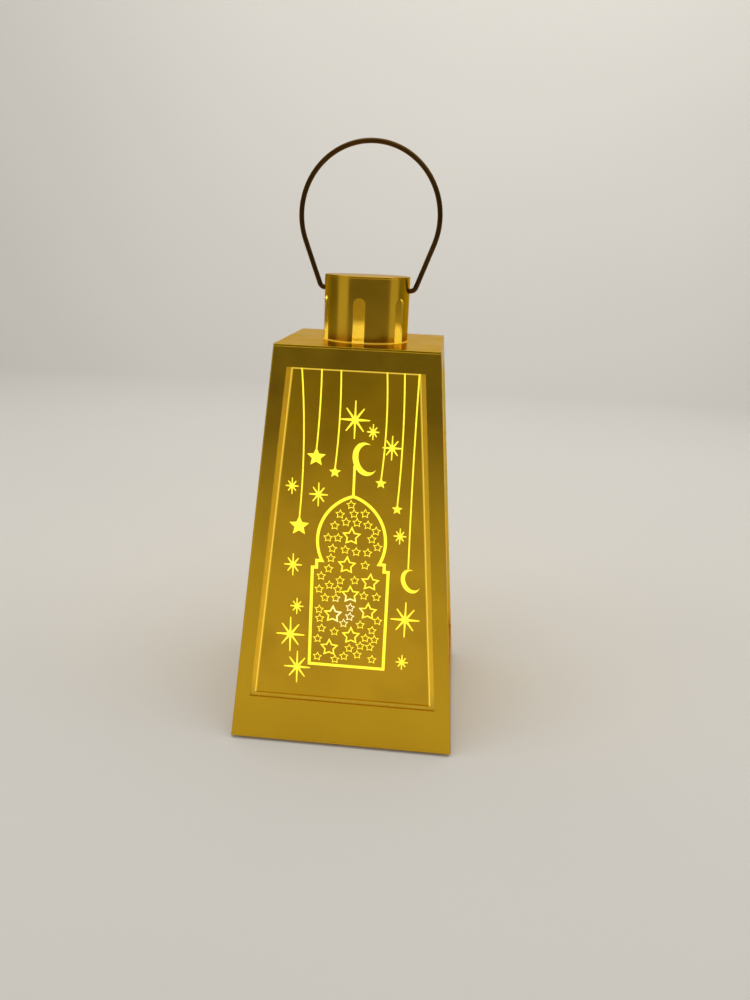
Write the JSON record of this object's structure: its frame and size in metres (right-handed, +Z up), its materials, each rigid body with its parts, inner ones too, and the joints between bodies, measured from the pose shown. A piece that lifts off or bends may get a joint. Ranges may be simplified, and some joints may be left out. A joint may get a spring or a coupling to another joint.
{
  "type": "ramadan fanous lantern",
  "caption": "Tapering square lantern of polished gold-tone sheet with etched mirror panes, a slotted round crown, a swinging wire bail and a battery lamp in its base.",
  "frame": {"origin": "under the middle of the lantern, on the surface its rubber feet stand on", "axes": "+Z up along the lantern's height, -Y out of the front side, +X to the right as the front is seen"},
  "size_m": [0.12, 0.12, 0.3119],
  "materials": {
    "gold_sheet": "mirror-polished gold-tone steel sheet",
    "gold_strip": "polished gold-tone folded strip",
    "mirror_acrylic": "gold mirror-coated acrylic, laser etched",
    "bronze_wire": "dark bronze-toned drawn wire",
    "zinc_steel": "zinc plated",
    "foot_rubber": "matt black rubber",
    "white_plastic": "moulded white plastic",
    "black_plastic": "moulded black plastic, fine spark texture",
    "knob_plastic": "moulded pale plastic",
    "lamp_board": "white solder mask on aluminium",
    "led_lens": "clear lit lens",
    "cell_jacket": "plain printed jacket",
    "nickel_contact": "nickel plated",
    "red_lead": "insulated lead",
    "black_lead": "insulated lead"
  },
  "bodies": {
    "lantern": {"front_wall": "gold_sheet", "right_wall": "gold_sheet", "back_wall": "gold_sheet", "left_wall": "gold_sheet", "front_channel": "gold_strip", "right_channel": "gold_strip", "back_channel": "gold_strip", "left_channel": "gold_strip", "front_pane": "mirror_acrylic", "right_pane": "mirror_acrylic", "back_pane": "mirror_acrylic", "left_pane": "mirror_acrylic", "top_plate": "gold_sheet", "crown_tube": "gold_sheet", "crown_lid": "gold_sheet", "base_plate": "gold_sheet", "base_screws": "zinc_steel", "base_nuts": "zinc_steel", "rubber_feet": "foot_rubber", "lamp_post": "white_plastic", "led_board": "lamp_board", "led_dome": "led_lens", "post_screws": "zinc_steel", "board_screws": "zinc_steel", "battery_case": "black_plastic", "battery_cells": "cell_jacket", "contact_springs": "nickel_contact", "contact_plates": "nickel_contact", "switch_body": "black_plastic", "switch_screws": "zinc_steel", "battery_lead": "red_lead", "switch_lead": "red_lead", "return_lead": "black_lead"},
    "bail": {"bail_handle": "bronze_wire"},
    "battery_door": {"battery_door": "black_plastic"},
    "power_switch": {"switch_slider": "knob_plastic"}
  },
  "joints": [
    {"name": "bail_swing", "type": "hinge", "parent": "lantern", "child": "bail", "pos_m": [0, 0, 0.2386], "axis": [0.9973, -0.0732, 0], "range_deg": [-118, 118]},
    {"name": "door_hinge", "type": "hinge", "parent": "lantern", "child": "battery_door", "pos_m": [0.03, -0.02655, 0.0021], "axis": [-1, 0, 0], "range_deg": [0, 95]},
    {"name": "switch_slide", "type": "slide", "parent": "lantern", "child": "power_switch", "axis": [0, 1, 0], "range_m": [0, 0.004]}
  ]
}
